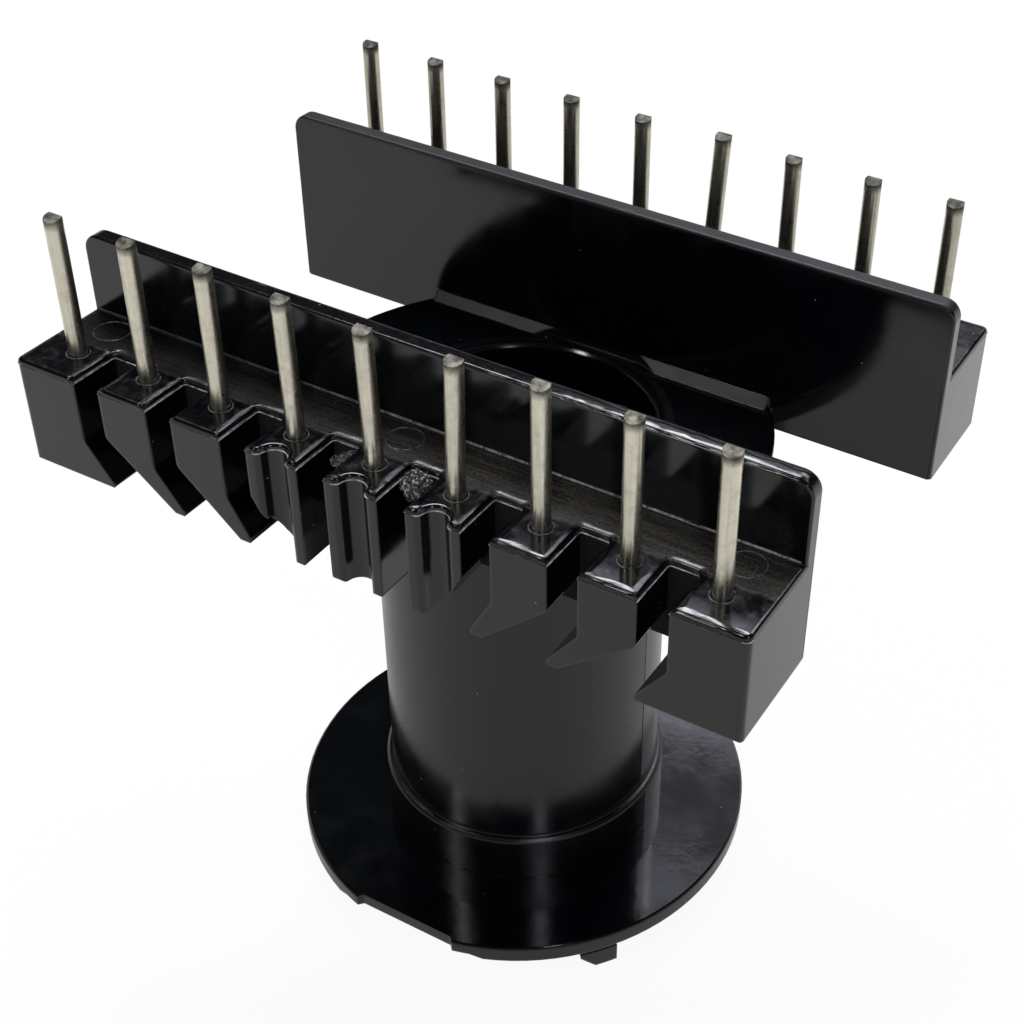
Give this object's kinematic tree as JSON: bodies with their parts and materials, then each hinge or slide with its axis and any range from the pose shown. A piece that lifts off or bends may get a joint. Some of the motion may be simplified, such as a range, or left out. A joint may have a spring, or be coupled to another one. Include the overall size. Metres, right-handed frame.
{
  "type": "transformer bobbin",
  "caption": "Upright moulded coil former: a winding tube between round flanges, topped by a core channel with two rails of wire slots and round solder pins.",
  "frame": {"origin": "on the bore's axis, in the plane of the undersides of the feet of the lower flange", "axes": "+Z along the bore from the lower flange towards the pins, +X along the pin rows, +Y from the front rail to the rear rail"},
  "size_m": [0.045, 0.0322, 0.0465],
  "materials": {
    "moulding": "black phenolic moulding, glossy as it left the mould",
    "pin_wire": "tinned wire, satin with a warm tarnish"
  },
  "bodies": {
    "root": {"bobbin_body": "moulding", "front_pin_1": "pin_wire", "front_pin_2": "pin_wire", "front_pin_3": "pin_wire", "front_pin_4": "pin_wire", "front_pin_5": "pin_wire", "front_pin_6": "pin_wire", "front_pin_7": "pin_wire", "front_pin_8": "pin_wire", "front_pin_9": "pin_wire", "rear_pin_1": "pin_wire", "rear_pin_2": "pin_wire", "rear_pin_3": "pin_wire", "rear_pin_4": "pin_wire", "rear_pin_5": "pin_wire", "rear_pin_6": "pin_wire", "rear_pin_7": "pin_wire", "rear_pin_8": "pin_wire", "rear_pin_9": "pin_wire"}
  },
  "joints": []
}
